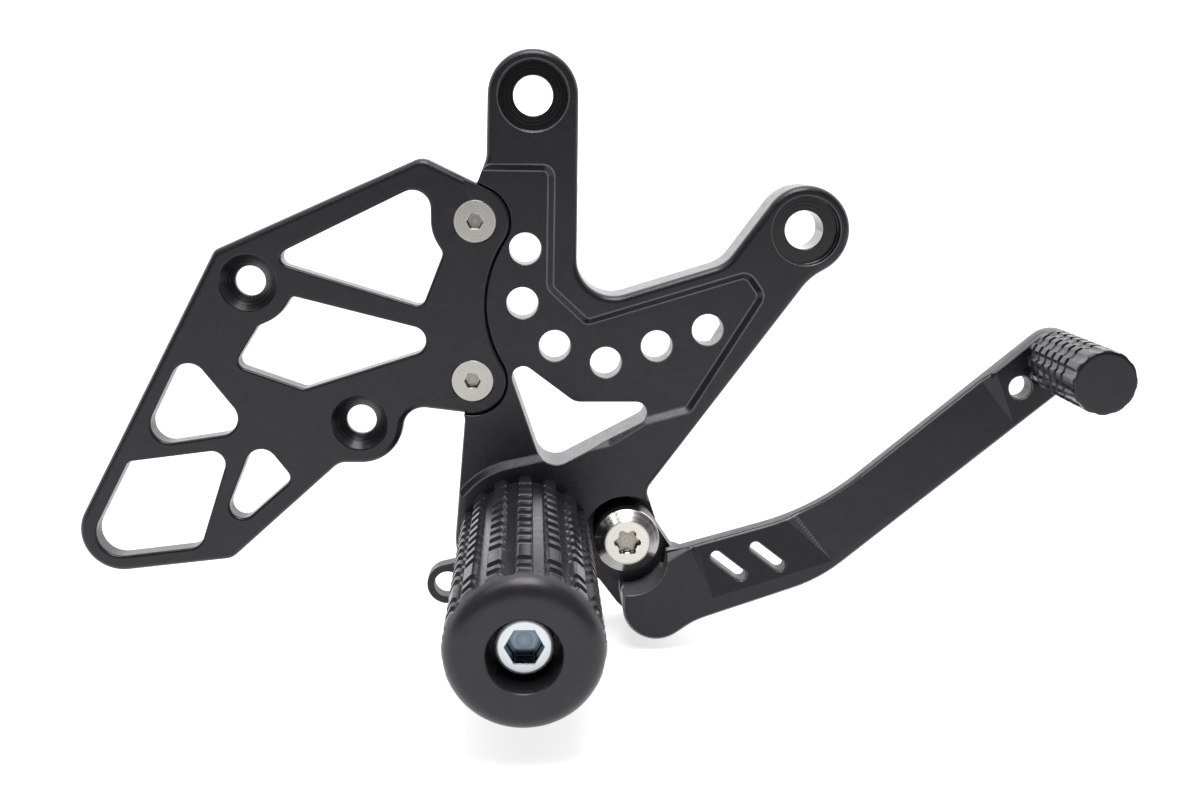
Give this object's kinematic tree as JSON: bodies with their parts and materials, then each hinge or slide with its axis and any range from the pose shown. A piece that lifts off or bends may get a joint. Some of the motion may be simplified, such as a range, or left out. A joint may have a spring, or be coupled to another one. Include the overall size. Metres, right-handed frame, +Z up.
{
  "type": "rear set footrest",
  "caption": "Motorcycle rear set for the brake side: milled bracket with ribbed footpeg, cut-out heel guard and a pivoting brake pedal with a ribbed toe peg.",
  "frame": {"origin": "on the axis of the upper frame bolt, in the back face of the bracket", "axes": "+X to the front of the machine, +Y inboard, +Z up; bolts and pegs lie along Y"},
  "size_m": [0.2847, 0.1084, 0.1681],
  "materials": {
    "black_anodised": "satin black anodised",
    "stainless": "bright stainless steel",
    "zinc_plated": "zinc plated steel",
    "bearing_bronze": "bearing bronze"
  },
  "bodies": {
    "root": {"bracket": "black_anodised", "heel_guard": "black_anodised", "heel_guard_screws": "stainless", "footpeg": "black_anodised", "footpeg_bolt": "zinc_plated", "pivot_bush": "stainless", "pivot_screw": "stainless"},
    "pedal": {"brake_lever": "black_anodised", "front_pivot_liner": "bearing_bronze", "rear_pivot_liner": "bearing_bronze", "toe_peg": "black_anodised", "toe_peg_screw": "zinc_plated"}
  },
  "joints": [
    {"name": "brake_pedal", "type": "hinge", "parent": "root", "child": "pedal", "pos_m": [0.0273, -0.011, -0.1259], "axis": [0, 1, 0], "range_deg": [0, 12]}
  ]
}
